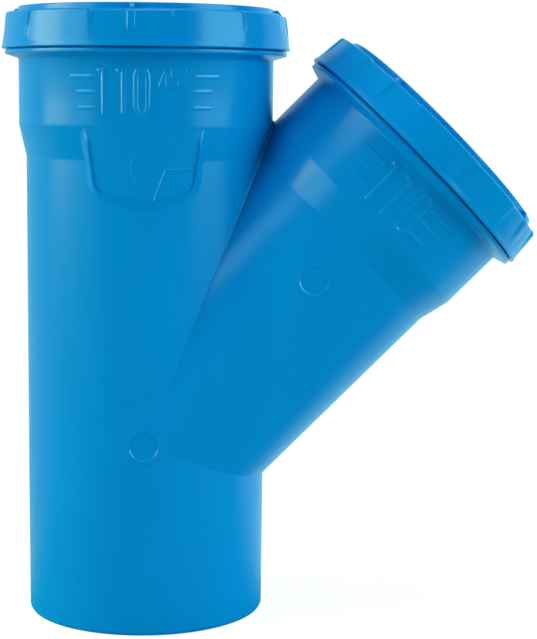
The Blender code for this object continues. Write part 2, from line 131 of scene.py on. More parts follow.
def wall_outline(taper):
    """Outside radius along an axis, measured from the crossing: plain, taper, socket."""
    low = -CROSSING
    corners = [(PIPE, low + SPIGOT_CHAMFER, 0), (BODY, low + SPIGOT_DRAFT, 0), (BODY, taper, TAPER_EDGE),
               (SOCKET, taper + TAPER, TAPER_EDGE), (SOCKET, taper + FLANGE_AT, 0)]
    return rounded(corners, steps=6)


def radius_along(outline, q):
    """Radius and slope of a wall at distances q from the crossing."""
    radius = np.interp(q, outline[:, 1], outline[:, 0])
    ahead = np.interp(q + 0.02, outline[:, 1], outline[:, 0])
    behind = np.interp(q - 0.02, outline[:, 1], outline[:, 0])
    return radius, (ahead - behind) / 0.04


RUN_WALL, BRANCH_WALL = wall_outline(RUN_TAPER), wall_outline(BRANCH_TAPER)
BORE_WALL = np.array([[BORE, -CROSSING], [BORE, 200.0]])
print("radius in the middle of the taper:", round(float(radius_along(RUN_WALL, RUN_TAPER + TAPER / 2)[0]), 2))

# %% The crease where the two walls meet
COLUMNS = 232


def on_wall(axis, across, q, angle, radius):
    """Points on a turned wall, with the crossing of the axes as their origin."""
    side = np.array([0.0, 1.0, 0.0])
    around = np.cos(angle)[..., None] * across + np.sin(angle)[..., None] * side
    return q[..., None] * axis + radius[..., None] * around


def crease(run_wall, branch_wall):
    """Angle round the branch and distance along it of the crease, one for each column."""
    angle = math.tau * np.arange(COLUMNS) / COLUMNS
    radius, cos = branch_wall[1, 0], np.cos(angle)
    q = np.where(cos >= 0, radius * cos * HALF_ANGLE, -radius * cos / HALF_ANGLE)

    def miss(q):
        point = on_wall(ALONG_BRANCH, ACROSS_BRANCH, q, angle, radius_along(branch_wall, q)[0])
        return np.hypot(point[:, 0], point[:, 1]) - radius_along(run_wall, point[:, 2])[0]

    upper = cos < -0.3
    for _ in range(12):
        slope = (miss(q + 0.01) - miss(q - 0.01)) / 0.02
        q = np.where(upper, q - miss(q) / np.where(upper, slope, 1.0), q)
    return angle, q, np.abs(miss(q)).max()


column_angle, outer_crease, error = crease(RUN_WALL, BRANCH_WALL)
print(f"crease from {outer_crease.min():.1f} to {outer_crease.max():.1f} mm along the branch, "
      f"error {error:.5f} mm")

# %% Rows that crowd where the form changes
FINE_STEPS, CROWD, CROWD_WIDTH = 1199, 3.2, 0.9


def graded(start, stop, count, crowds):
    """Distances from start to stop, closer together near start and near each crowd."""
    fine = np.linspace(0, 1, FINE_STEPS + 1)
    q = start[:, None] + (stop - start)[:, None] * fine
    density = 0.22 + 1 / (0.18 + 0.22 * np.abs(q - start[:, None]))
    for place in crowds:
        density += CROWD * np.exp(-((q - place) / CROWD_WIDTH) ** 2)
    middle = (density[:, 1:] + density[:, :-1]) / 2
    total = np.cumsum(middle, axis=1) * np.abs(stop - start)[:, None] / FINE_STEPS
    total = np.concatenate([np.zeros((len(start), 1)), total], axis=1)
    return np.array([np.interp(np.linspace(0, row[-1], count), row, distance)
                     for row, distance in zip(total, q)])


def half_crease(upper, angle, q, wall):
    """Where the crease lies on the run: its upper or its lower half, and the far side's plain line."""
    run_angle = angle.copy()
    run_q = np.zeros(COLUMNS)
    point = on_wall(ALONG_BRANCH, ACROSS_BRANCH, q, angle, radius_along(wall, q)[0])
    for i in range(COLUMNS):
        j = (COLUMNS // 2 - i) % COLUMNS if upper else i
        if math.cos(angle[i]) > 1e-9:
            run_angle[i] = math.atan2(point[j, 1], point[j, 0]) % math.tau
            run_q[i] = point[j, 2]
    return run_angle, run_q


def wall_sheet(axis, across, wall, start, stop, count, start_angle, crowds=()):
    """One wall from the crease to a straight end, as columns of points."""
    q = graded(start, np.full(COLUMNS, float(stop)), count, crowds)
    share = np.abs(q - start[:, None]) / np.abs(stop - start)[:, None]
    drift = (start_angle - column_angle + math.pi) % math.tau - math.pi
    around = column_angle[:, None] + drift[:, None] * (1 - share) ** 2
    return on_wall(axis, across, q, around, radius_along(wall, q)[0])


rows = graded(np.array([0.0]), np.array([140.0]), 60, (RUN_TAPER,))[0]
print("first rows at", np.round(rows[:6], 2).tolist(), "last step", round(rows[-1] - rows[-2], 2))

# %% [markdown]
# ## The ends of the walls
#
# At each end the outside turns into the inside: the spigot has a small chamfer, and a socket climbs
# over its flange and the seal chamber before it comes back down the bore to the slope that stops
# the pipe. These ends are plain turned outlines, one for the spigot and one for both sockets.

# %% Outlines of the spigot's end and of a socket
def chamber_wall(height):
    return CHAMBER_BASE + (CHAMBER_MOUTH - CHAMBER_BASE) * height / MOUTH_AT


SOCKET_START, STOP_END = TAPER + 8.0, 0.7


def socket_end(taper):
    """From the socket's outside, over the flange and the chamber, to the bore below the stop."""
    f = taper + FLANGE_AT
    corners = [
        (SOCKET, taper + SOCKET_START, 0), (SOCKET, f - 2.3, 1.1), (FLANGE, f - 0.4, 0.2),
        (FLANGE, f + 0.5, 0.3), (CHAMBER_BASE + 1.2, f + 1.4, 0.3), (CHAMBER_BASE, f + 1.4, 0.2),
        (chamber_wall(4.0), f + 4.0, 0.3), (chamber_wall(5.2) + 0.9, f + 5.2, 0.5),
        (chamber_wall(6.4), f + 6.4, 0.3), (CHAMBER_MOUTH, f + MOUTH_AT, 0.3), (CHAMBER, f + MOUTH_AT, 0.3),
        (CHAMBER, f + 2.0, 0.3), (SOCKET_BORE + 0.6, f + 2.0, 0.2), (SOCKET_BORE, f + 1.2, 0.5),
        (SOCKET_BORE, taper + 8.5, 3.0), (BORE, taper + 1.5, 3.0), (BORE, taper + STOP_END, 0)]
    return rounded(corners, steps=3)


def spigot_end():
    low = -CROSSING
    corners = [(PIPE, low + 6.0, 0), (PIPE, low + SPIGOT_CHAMFER, 0.8), (PIPE - 0.7, low, 0.3),
               (BORE + 0.3, low, 0.2), (BORE, low + 0.3, 0.2), (BORE, low + 6.0, 0)]
    return rounded(corners, steps=3)


print("points in a socket's end:", len(socket_end(RUN_TAPER)), "and in the spigot's:", len(spigot_end()))

# %% [markdown]
# ## The fillet in the crease
#
# The photograph shows a crease that is crisp, yet a hair of light runs down it: the mould has a small
# radius there. It is the surface of a ball that rolls in the crease and touches both walls. For a
# point near the crease the distances to the two walls give the ball's centre, and the point moves
# straight out from that centre onto the ball. Where the walls are tangent nothing moves.

# %% Helper: roll a ball along the crease
def distance_and_normal(points, axis, wall):
    """Distance from a turned wall, and its outward normal there."""
    q = points @ axis
    radial = points - q[..., None] * axis
    out = np.linalg.norm(radial, axis=-1)
    radius, slope = radius_along(wall, q)
    level = 1 / np.sqrt(1 + slope ** 2)
    normal = (radial / out[..., None] - slope[..., None] * axis) * level[..., None]
    return (out - radius) * level, normal


def roll_ball(points, run_wall, branch_wall, ball):
    """Moves the points near the crease onto the fillet."""
    for _ in range(8):
        d1, n1 = distance_and_normal(points, UP, run_wall)
        d2, n2 = distance_and_normal(points, ALONG_BRANCH, branch_wall)
        cos = np.sum(n1 * n2, axis=-1)
        sin2 = np.maximum(1 - cos ** 2, 1e-9)
        a = ((d1 - ball) - cos * (d2 - ball)) / sin2
        b = ((d2 - ball) - cos * (d1 - ball)) / sin2
        near = (a < 0) & (b < 0) & (sin2 > 2e-3) & (d1 < ball) & (d2 < ball) & (points[..., 0] > 0)
        from_centre = a[..., None] * n1 + b[..., None] * n2
        length = np.maximum(np.linalg.norm(from_centre, axis=-1), 1e-6)
        points = points + np.where(near[..., None], from_centre * (ball / length - 1)[..., None], 0.0)
    return points


# %% Three sheets of wall that start at the crease
def three_sheets(run_wall, branch_wall, ends, counts, ball):
    """The lower run, the upper run and the branch, each as columns that start at the crease."""
    around, q, _ = crease(run_wall, branch_wall)
    low_angle, low_q = half_crease(False, around, q, branch_wall)
    high_angle, high_q = half_crease(True, around, q, branch_wall)
    sheets = [
        wall_sheet(UP, ACROSS_RUN, run_wall, low_q, ends[0], counts[0], low_angle),
        wall_sheet(UP, ACROSS_RUN, run_wall, high_q, ends[1], counts[1], high_angle,
                   (RUN_TAPER, RUN_TAPER + TAPER)),
        wall_sheet(ALONG_BRANCH, ACROSS_BRANCH, branch_wall, q, ends[2], counts[2], around,
                   (BRANCH_TAPER, BRANCH_TAPER + TAPER))]
    return [roll_ball(sheet, run_wall, branch_wall, ball) for sheet in sheets]


def turned_end(axis, across, outline):
    """An end's outline turned about its axis, on the same columns as the walls."""
    return on_wall(axis, across, outline[None, :, 1], column_angle[:, None], outline[None, :, 0])


# %% Helpers: make a mesh, close a grid, finish a piece
def link_mesh(name, mesh):
    obj = bpy.data.objects.new(name, mesh)
    bpy.context.scene.collection.objects.link(obj)
    return obj


def new_mesh_object(name, points, faces):
    """A mesh object from points in millimetres, at the origin."""
    mesh = bpy.data.meshes.new(name)
    mesh.from_pydata((np.asarray(points) * MM).tolist(), [], [list(face) for face in faces])
    return link_mesh(name, mesh)


def column_faces(columns, rows, first=0):
    """Quads between neighbouring columns of a grid of points that closes round its axis."""
    i, k = np.meshgrid(np.arange(columns), np.arange(rows - 1), indexing="ij")
    j = (i + 1) % columns
    quads = np.stack([i * rows + k, i * rows + k + 1, j * rows + k + 1, j * rows + k], axis=-1)
    return quads.reshape(-1, 4) + first


def finish_mesh(obj, sharp_degrees, weld=0.0):
    """Welds seams, points the faces outwards and shades the mesh smooth but for its sharp edges."""
    bm = bmesh.new()
    bm.from_mesh(obj.data)
    if weld:
        bmesh.ops.remove_doubles(bm, verts=bm.verts, dist=weld * MM)
    bmesh.ops.recalc_face_normals(bm, faces=bm.faces)
    open_edges = sum(1 for edge in bm.edges if len(edge.link_faces) != 2)
    bm.to_mesh(obj.data)
    bm.free()
    obj.data.shade_smooth()
    obj.data.set_sharp_from_angle(angle=math.radians(sharp_degrees))
    triangles = sum(len(p.vertices) - 2 for p in obj.data.polygons)
    print(f"{obj.name}: {triangles} triangles, {open_edges} open edges")


# %% Join the walls and the ends into one mesh
CREASE_RADIUS, INNER_CREASE_RADIUS = 0.9, 0.8
OUTER_ROWS, INNER_ROWS = (44, 78, 78), (16, 28, 28)


def build_body():
    ends = [spigot_end(), socket_end(RUN_TAPER), socket_end(BRANCH_TAPER)]
    outer = three_sheets(RUN_WALL, BRANCH_WALL, [end[0, 1] for end in ends], OUTER_ROWS, CREASE_RADIUS)
    inner = three_sheets(BORE_WALL, BORE_WALL, [end[-1, 1] for end in ends], INNER_ROWS, INNER_CREASE_RADIUS)
    axes = [(UP, ACROSS_RUN)] * 2 + [(ALONG_BRANCH, ACROSS_BRANCH)]
    points, faces, first = [], [], 0
    for outside, inside, end, (axis, across) in zip(outer, inner, ends, axes):
        grid = np.concatenate([outside, turned_end(axis, across, end)[:, 1:-1], inside[:, ::-1]], axis=1)
        faces.append(column_faces(COLUMNS, grid.shape[1], first))
        points.append(grid.reshape(-1, 3))
        first += grid.shape[0] * grid.shape[1]
    points = np.concatenate(points) + UP * CROSSING
    body = new_mesh_object("moulded_body", points, np.concatenate(faces))
    finish_mesh(body, 32, weld=0.001)
    return body


moulded_body = build_body()
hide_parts("body")
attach(moulded_body, "root")

# %% [markdown]
# ## The raised frame under the run's socket
#
# Below the size figures the mould has a shallow U with a field inside it. The field is one smooth
# slope from the pipe up to the socket, so the taper's edges stop at the U. The rim is steep on its
# inner side and falls off softly outside. It follows one line on the pipe: a strip is laid along
# that line, and the height of each of its rows depends on the distance from the line.

# %% The U line and the heights of its rim and its field
U_HALF, U_CORNER, U_SAG, U_LEAN = 21.6, -13.3, 5.2, math.radians(6.0)
U_END, FIELD_END = TAPER + 4, TAPER + 2.5
RIM_HEIGHT, RIM_EDGE, RIM_FLANK, RIM_ROOT, SOFT_SHARE = 0.95, 0.25, 3.9, 0.12, 0.35
STEP_FROM, STEP_WIDTH, STEP_FOOT = -0.4, 0.42, 0.25
FADE_FROM, FADE_LENGTH = TAPER - 9.0, 10.0
FIELD_RISE, FIELD_SWELL, FIELD_SINK = 0.25, 1.35, 0.03
RIM_ROWS = (-1.6, -0.9, -0.5, -0.4, -0.26, -0.12, 0.02, 0.14, 0.28, 0.42, 0.6, 0.85, 1.2, 1.6, 2.0, 2.4, 2.8,
            3.2, 3.5, 3.75, 3.95, 4.1, 4.3, 4.6)


def u_line():
    """The inner edge of the U: (distance round the run from its front, height above the taper)."""
    out = math.tan(U_LEAN) * (U_END - U_CORNER)
    corners = [(-U_HALF - out, U_END, 0), (-U_HALF, U_CORNER, 6.0), (0, U_CORNER - U_SAG - 1.3, 45.0),
               (U_HALF, U_CORNER, 6.0), (U_HALF + out, U_END, 0)]
    line = rounded(corners, steps=40)
    steps = np.linalg.norm(np.diff(line, axis=0), axis=1)
    along = np.concatenate([[0.0], np.cumsum(steps)])
    even = np.linspace(0, along[-1], 260)
    return np.stack([np.interp(even, along, line[:, 0]), np.interp(even, along, line[:, 1])], axis=1)


def ease(t):
    t = np.clip(t, 0, 1)
    return t * t * (3 - 2 * t)


def field_radius(height):
    """The sloping field, flush with the socket where it ends."""
    low = U_CORNER - U_SAG
    climb = np.clip((height - low) / (FIELD_END - low), 0, 1)
    rise = 1 - (1 - climb) ** FIELD_SWELL
    return BODY + FIELD_RISE + (SOCKET - FIELD_SINK - BODY - FIELD_RISE) * rise


def rim_radius(distance, height):
    """The rim's surface; distance is from the U line, negative inside."""
    wall = radius_along(RUN_WALL, RUN_TAPER + height)[0]
    field = field_radius(height)
    fading = 1 - ease((height - FADE_FROM) / FADE_LENGTH)
    crest = np.maximum(field, wall) - 0.05 + RIM_HEIGHT * fading
    climb = np.clip((distance - STEP_FROM) / STEP_WIDTH, 0, 1)
    inner = field - STEP_FOOT + (crest - field + STEP_FOOT) * climb
    slope = np.clip((distance - RIM_EDGE) / RIM_FLANK, 0, 1)
    fall = SOFT_SHARE * ease(slope) + (1 - SOFT_SHARE) * slope
    outer = crest + (wall - RIM_ROOT - crest) * fall
    return np.where(distance < RIM_EDGE, inner, outer)


def on_run_front(distance_round, height, radius):
    """Points on the run, from flat coordinates and a radius."""
    turn = distance_round / BODY
    return np.stack([radius * np.sin(turn), -radius * np.cos(turn), CROSSING + RUN_TAPER + height], axis=-1)


def shell_from_grid(name, top, depth=0.8):
    """A thin closed shell under a grid of points."""
    count, rows = top.shape[:2]
    axis_out = top * np.array([1.0, 1.0, 0.0])
    under = top - axis_out / np.linalg.norm(axis_out, axis=-1, keepdims=True) * depth
    points = np.concatenate([top.reshape(-1, 3), under.reshape(-1, 3)])
    i, k = np.meshgrid(np.arange(count - 1), np.arange(rows - 1), indexing="ij")
    quads = np.stack([i * rows + k, (i + 1) * rows + k, (i + 1) * rows + k + 1, i * rows + k + 1], -1)
    quads = quads.reshape(-1, 4)
    rim = [i * rows for i in range(count)] + [(count - 1) * rows + k for k in range(1, rows)]
    rim += [i * rows + rows - 1 for i in range(count - 2, -1, -1)] + [k for k in range(rows - 2, 0, -1)]
    size = count * rows
    sides = [(a, b, b + size, a + size) for a, b in zip(rim, rim[1:] + rim[:1])]
    return new_mesh_object(name, points, quads.tolist() + (quads[:, ::-1] + size).tolist() + sides)


print("points on the U line:", len(u_line()))

# %% Build the rim and the field
FIELD_COLUMNS, FIELD_MARGIN = 60, 0.15


def build_raised_frame():
    line = u_line()
    ahead = np.gradient(line, axis=0)
    ahead /= np.linalg.norm(ahead, axis=1, keepdims=True)
    outwards = np.stack([ahead[:, 1], -ahead[:, 0]], axis=1)
    rows = np.array(RIM_ROWS)
    flat = line[:, None] + rows[None, :, None] * outwards[:, None]
    rim_top = on_run_front(flat[..., 0], flat[..., 1], rim_radius(rows[None], flat[..., 1]))
    rim = shell_from_grid("raised_rim", rim_top)
    heights = np.concatenate([np.linspace(U_CORNER - U_SAG + 0.6, FIELD_END, 60), [FIELD_END + 0.7]])
    spans = []
    for height in heights:
        inside = line[np.abs(line[:, 1] - height) < 1.2, 0]
        spans.append((inside.min() + FIELD_MARGIN, inside.max() - FIELD_MARGIN) if len(inside) else (0, 0))
    left, right = np.array(spans).T
    share = np.linspace(0, 1, FIELD_COLUMNS)
    across = left + (right - left) * share[:, None]
    up = np.repeat(heights[None], FIELD_COLUMNS, axis=0)
    radius = field_radius(up) - 0.5 * (up > FIELD_END + 0.1)
    field = shell_from_grid("sloping_field", on_run_front(across, up, radius))
    return rim, field


raised_rim, sloping_field = build_raised_frame()
for piece in (raised_rim, sloping_field):
    finish_mesh(piece, 50)
    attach(piece, "root")

# %% [markdown]
# ## Two small classes for nodes
#
# Both Geometry Nodes and shaders are trees of nodes, and written out link by link their maths is
# hard to read. A `Wire` stands for a node's output and knows how to add, multiply and divide, so a
# formula on wires reads as a formula. A `Tree` adds any other node in one call.

# %% Helpers: Wire and Tree
def maths_method(kind, swapped=False):
    """A method for Wire that adds a maths node for a wire and one more value."""
    def method(self, value):
        return self.tree.math(kind, value, self) if swapped else self.tree.math(kind, self, value)
    return method


class Wire:
    """An output socket that can be used in a Python expression."""

    def __init__(self, tree, socket):
        self.tree, self.socket = tree, socket

    __add__, __radd__ = maths_method("ADD"), maths_method("ADD", swapped=True)
    __sub__, __rsub__ = maths_method("SUBTRACT"), maths_method("SUBTRACT", swapped=True)
    __mul__, __rmul__ = maths_method("MULTIPLY"), maths_method("MULTIPLY", swapped=True)
    __truediv__ = maths_method("DIVIDE")
    at_most, at_least = maths_method("MINIMUM"), maths_method("MAXIMUM")

    def __abs__(self):
        return self.tree.math("ABSOLUTE", self)

    def other(self, name):
        """Another output of the same node."""
        return Wire(self.tree, self.socket.node.outputs[name])

    def rise(self, low, high):
        """0 below low, 1 above high and a soft step between them."""
        return self.tree.add("ShaderNodeMapRange", {"Value": self, "From Min": low, "From Max": high},
                             interpolation_type="SMOOTHSTEP")


class Tree:
    """A node tree to which nodes are added by type, inputs and settings."""

    def __init__(self, tree):
        self.tree = tree

    def add(self, kind, inputs=None, output=0, **settings):
        """Adds a node: its settings first, then a value or a wire for each input. Gives one output."""
        node = self.tree.nodes.new(kind)
        for name, value in settings.items():
            setattr(node, name, value)
        for name, value in (inputs or {}).items():
            self.feed(node.inputs[name], value)
        return Wire(self, node.outputs[output]) if len(node.outputs) else node

    def math(self, operation, first, second=0.0, third=0.0):
        return self.add("ShaderNodeMath", {0: first, 1: second, 2: third}, operation=operation)

    def feed(self, socket, value):
        if isinstance(value, Wire):
            self.tree.links.new(value.socket, socket)
        else:
            socket.default_value = value


# %% Helpers: start, end and run a Geometry Nodes tree
def geometry_tree(name, inputs):
    """An empty Geometry Nodes tree with named inputs of a kind; gives the tree and its input wires."""
    group = bpy.data.node_groups.new(name, "GeometryNodeTree")
    group.interface.new_socket("Geometry", in_out="INPUT", socket_type="NodeSocketGeometry")
    for label, kind in inputs.items():
        group.interface.new_socket(label, in_out="INPUT", socket_type=f"NodeSocket{kind}")
    group.interface.new_socket("Geometry", in_out="OUTPUT", socket_type="NodeSocketGeometry")
    tree = Tree(group)
    entry = tree.add("NodeGroupInput")
    return tree, {label: entry.other(label) for label in ["Geometry", *inputs]}


def read_mesh(tree, wire):
    """The mesh of a helper object, in its own coordinates."""
    return tree.add("GeometryNodeObjectInfo", {"Object": wire}, transform_space="ORIGINAL").other("Geometry")


def wrap(tree, geometry, turn, radius, height):
    """Moves points to an angle from the front, a radius and a height, given in millimetres."""
    position = tree.add("ShaderNodeCombineXYZ", {
        "X": radius * tree.math("SINE", turn) * MM, "Y": radius * tree.math("COSINE", turn) * -MM,
        "Z": height * MM})
    return tree.add("GeometryNodeSetPosition", {"Geometry": geometry, "Position": position})


def end_tree(tree, geometry, material):
    """The last nodes: real geometry, its material and the group's output."""
    real = tree.add("GeometryNodeRealizeInstances", {"Geometry": geometry})
    painted = tree.add("GeometryNodeSetMaterial", {"Geometry": real, "Material": material})
    tree.add("NodeGroupOutput", {"Geometry": painted})


def grow(name, start, tree, values, place):
    """Runs a Geometry Nodes tree on an object and keeps the result as a plain mesh."""
    modifier = start.modifiers.new(name, "NODES")
    modifier.node_group = tree.tree
    for item in tree.tree.interface.items_tree:
        if item.item_type == "SOCKET" and item.in_out == "INPUT" and item.name in values:
            modifier[item.identifier] = values[item.name]
    bpy.context.view_layer.update()
    evaluated = start.evaluated_get(bpy.context.evaluated_depsgraph_get())
    mesh = bpy.data.meshes.new_from_object(evaluated)
    start.modifiers.remove(modifier)
    mesh.name = name
    mesh.transform(place)
    return link_mesh(name, mesh)


HELPERS = []


def helper_object(name, points, edges=(), faces=()):
    """An object that only a tree reads, in millimetres; it goes again before the end."""
    mesh = bpy.data.meshes.new(name)
    mesh.from_pydata(points, edges, faces)
    HELPERS.append(link_mesh(name, mesh))
    return HELPERS[-1]


print("node helpers ready")

# %% [markdown]
# ## The retaining rings
#
# A ring is one section turned about the socket's axis, but the section changes as it goes round: four
# times it sinks into a shallow recess with a gusset in its middle, and between the recesses it
# carries a slim ridge. Geometry Nodes suits this: a grid is rolled up along the section's
# points, and the changes are one rule that looks at the angle from the nearest gusset.

# %% The ring's section and columns
RECESSES, RECESS_HALF, RECESS_DEPTH, RECESS_DROP = 4, math.radians(15.7), 0.7, 0.4
RECESS_FROM, RECESS_LENGTH, WALL_HALF = 6.0, 11.0, 0.45
RIDGE_AT, RIDGE_HEIGHT, RIB_HALF, RIB_HEIGHT = math.radians(46.6), 0.45, 1.55, 0.42
GUSSET_HALF, GUSSET_TOP, GUSSET_SLOPE, GUSSET_BEND, GUSSET_RADIUS = 1.1, 20.4, 1.22, 60.4, 60.0
RING_AT_SHOULDER, RING_AT_FOOT, RING_MIDDLE = 64.4, 65.83, 63.0
COLLAR_TOP, SHOULDER_AT = 20.8, 18.1
SKIRT_FOOT, SKIRT_HEIGHT = 2.0, 15.7
# bounds where the rule's changes set in: across the ridge and the rib, and radii on the ring's top
RIDGE_FLANK, RIB_FLANK = (0.35, 0.8), 0.35
DROP_EDGE, BEVEL, GUSSET_SPAN = (59.3, 59.9), (61.5, 63.4), (57.9, 62.25)
SKIN, SHOULDER = 1.0, 2.0  # marks on the section's points for the rule
RUN_TURN, BRANCH_TURN = math.radians(-4.6), math.radians(-36.2)


def section_object(name, points, marks=None):
    """A loose line of points that a tree reads: radius and height in millimetres, and a mark."""
    marks = np.zeros(len(points)) if marks is None else marks
    return helper_object(name, [(float(x), float(m), float(y)) for (x, y), m in zip(points, marks)])


def ring_section():
    def skirt(z):
        return RING_AT_FOOT + (RING_AT_SHOULDER - RING_AT_FOOT) * (z - SKIRT_FOOT) / SKIRT_HEIGHT

    corners = [(RING_AT_FOOT, SKIRT_FOOT, 0.25), (66.22, 2.5, 0.3), (skirt(4.3) + 0.04, 4.3, 1.6)]
    corners += [(skirt(z), z, 0) for z in (5.2, 6.4, 7.8, 9.2, 10.6, 12.0, 13.4, 14.8, 16.0)]
    corners += [(RING_AT_SHOULDER, 17.45, 0.5), (63.6, SHOULDER_AT, 0.4)]
    corners += [(r, SHOULDER_AT, 0) for r in (62.9, 62.3, 62.2, 61.6, 61.0, GUSSET_BEND, 59.8)]
    corners += [(58.95, SHOULDER_AT, 0.3), (58.8, 18.9, 0), (58.65, 19.8, 0), (58.4, COLLAR_TOP, 0.45),
                (56.35, COLLAR_TOP, 0.35), (55.8, 19.9, 0.3), (55.8, 15.3, 0.3), (62.3, 15.3, 0.3),
                (62.6, 12.0, 0), (62.8, 7.6, 0.2), (63.75, 6.6, 0.2), (63.75, 4.4, 0.2), (63.2, 3.6, 0.2),
                (63.42, SKIRT_FOOT, 0.2)]
    points = rounded(corners, steps=4, closed=True)
    r, z = points[:, 0], points[:, 1]
    outside = (r > 64.0) | ((z > 17.0) & (r > 59.95))
    marks = np.where(outside & (z > 4.6), SKIN, 0.0)
    marks[(z > 16.9) & (r > GUSSET_SPAN[0])] = SHOULDER
    return np.vstack([points, points[:1]]), np.append(marks, marks[0])


def ring_columns():
    """Angles round the ring, close together where the rule changes the section."""
    half_turn = math.pi
    places = []

    def crowd(middle, distances):
        for mm in distances:
            places.extend([middle - mm / RING_MIDDLE, middle + mm / RING_MIDDLE])

    for k in range(2):
        gusset = k * half_turn / 2
        crowd(gusset, (0.0, 0.7, GUSSET_HALF, *(RIB_HALF + step for step in (-0.3, -0.1, 0.1, 0.3))))
        for edge in (-RECESS_HALF, RECESS_HALF):
            crowd(gusset + edge, (0.0, 0.16, 0.32, 0.5))
    for ridge in (-RIDGE_AT, RIDGE_AT):
        crowd(ridge, (0.0, 0.35, 0.62, 0.8))
    places = np.mod(np.array(places), half_turn)
    even = np.linspace(0, half_turn, 73)[:-1]
    apart = [np.abs((places - a + half_turn / 2) % half_turn - half_turn / 2).min() for a in even]
    lonely = [a for a, distance in zip(even, apart) if distance > 0.9 / RING_MIDDLE]
    one = np.unique(np.round(np.concatenate([places, lonely]), 6))
    return np.concatenate([one, one + half_turn, one[:1] + math.tau])


ring_line, ring_marks = ring_section()
print("points in the ring's section:", len(ring_line), "columns:", len(ring_columns()))

# %% The tree that turns a section about an axis
def turned_tree(name, rule=None, extra=()):
    """Rolls a grid up along a section; the rule may change radius and height by angle."""
    tree, wires = geometry_tree(name, {"Section": "Object", "Columns": "Object", "Rows": "Int",
                                       "Column Count": "Int", "Turn": "Float", "Material": "Material",
                                       **dict.fromkeys(extra, "Float")})
    grid = tree.add("GeometryNodeMeshGrid", {
        "Size X": 1.0, "Size Y": 1.0, "Vertices X": wires["Column Count"], "Vertices Y": wires["Rows"]})
    place = tree.add("ShaderNodeSeparateXYZ", {"Vector": tree.add("GeometryNodeInputPosition")})

    def nth(share, count):
        return (share + 0.5) * (count - 1.0) + 0.5

    def read(label, index):
        vector = tree.add("GeometryNodeSampleIndex", {
            "Geometry": read_mesh(tree, wires[label]), "Value": tree.add("GeometryNodeInputPosition"),
            "Index": tree.math("FLOOR", index)}, data_type="FLOAT_VECTOR")
        return tree.add("ShaderNodeSeparateXYZ", {"Vector": vector})

    column = read("Columns", nth(place, wires["Column Count"]))
    row = read("Section", nth(place.other("Y"), wires["Rows"]))
    angle, radius, mark, height = column, row, row.other("Y"), row.other("Z")
    if rule is not None:
        radius, height = rule(tree, wires, angle, radius, height, mark)
    rolled = wrap(tree, grid, angle + wires["Turn"], radius, height)
    welded = tree.add("GeometryNodeMergeByDistance", {"Geometry": rolled, "Distance": 0.000002})
    end_tree(tree, welded, wires["Material"])
    return tree


def ring_rule(tree, wires, angle, radius, height, mark):
    """Recess, gusset and ridge of a retaining ring."""
    pitch = math.tau / RECESSES
    fold = abs(tree.math("WRAP", angle, pitch / 2, -pitch / 2))
    skin = tree.math("COMPARE", mark, SKIN, 0.1)
    shoulder = tree.math("COMPARE", mark, SHOULDER, 0.1)
    wall = RECESS_HALF * RING_MIDDLE
    recess = 1.0 - (fold * RING_MIDDLE).rise(wall - WALL_HALF, wall + WALL_HALF)
    climb = ((height - RECESS_FROM) / RECESS_LENGTH).at_least(0.0).at_most(1.0)
    upper_half = climb.at_most(0.5) * 2.0
    from_front = abs(tree.math("WRAP", angle, math.pi / 2, -math.pi / 2))
    ridge = (1.0 - (abs(from_front - RIDGE_AT) * RING_MIDDLE).rise(*RIDGE_FLANK)) * upper_half
    rib = (1.0 - (fold * RING_MIDDLE).rise(RIB_HALF - RIB_FLANK, RIB_HALF + RIB_FLANK)) * upper_half
    proud = ridge * wires["Ridge Height"] + rib * RIB_HEIGHT
    floor = height - shoulder * recess * wires["Recess Drop"] * radius.rise(*DROP_EDGE)
    slope = GUSSET_TOP - (radius - GUSSET_BEND).at_least(0.0) * GUSSET_SLOPE
    inside, outside = GUSSET_SPAN
    lift = shoulder * tree.math("LESS_THAN", radius, outside) * tree.math("GREATER_THAN", radius, inside)
    lift = lift * (1.0 - (fold * GUSSET_RADIUS).rise(GUSSET_HALF, GUSSET_HALF + 0.12))
    edge = shoulder * radius.rise(*BEVEL)
    radius = radius - (skin * climb + edge) * recess * wires["Recess Depth"] + (skin + edge) * proud
    return radius, tree.add("ShaderNodeMix", {"Factor": lift, "A": floor, "B": floor.at_least(slope)})


RING_VALUES = {"Recess Depth": RECESS_DEPTH, "Recess Drop": RECESS_DROP, "Ridge Height": RIDGE_HEIGHT}
ring_tree = turned_tree("retaining ring", ring_rule, RING_VALUES)
print("nodes in the ring's tree:", len(ring_tree.tree.nodes))

# %% [markdown]
# ## The lip seals
#
# The seal is black rubber: a band in the chamber and a lip that slopes down into the socket, so a pipe
# that is pushed in bends it the easy way. It is turned by the same tree, with no rule.

# %% The seal's section
def seal_section():
    corners = [(59.9, 0.3, 0.25), (59.9, 12.5, 0.35), (56.9, 12.5, 0.7), (56.3, 11.4, 0.8), (53.9, 6.3, 0.3),
               (54.7, 5.7, 0.3), (57.3, 9.0, 0.3), (57.9, 8.4, 0.3), (57.6, 3.5, 0.6), (56.2, 1.2, 0.4),
               (56.9, 0.3, 0.4)]
    points = rounded(corners, steps=4, closed=True) + np.array([0.0, 2.0])
    return np.vstack([points, points[:1]])


seal_tree = turned_tree("lip seal")
print("points in the seal's section:", len(seal_section()))

# %% Turn the rings and seals and set them on their sockets
BLUE_RING = bpy.data.materials.new("ring_blue_plastic")
BLUE_BODY = bpy.data.materials.new("body_blue_plastic")
# the raised marks' material is a paler blue than the body's: a painted highlight, so the strokes read as
# light lines
MARKS_PAINTED_HIGHLIGHT = bpy.data.materials.new("raised_marks_painted_highlight_plastic")
RUBBER = bpy.data.materials.new("lip_seal_rubber")
start = helper_object("start", [])


def column_object(name, angles):
    return section_object(name, [(a, 0.0) for a in angles])


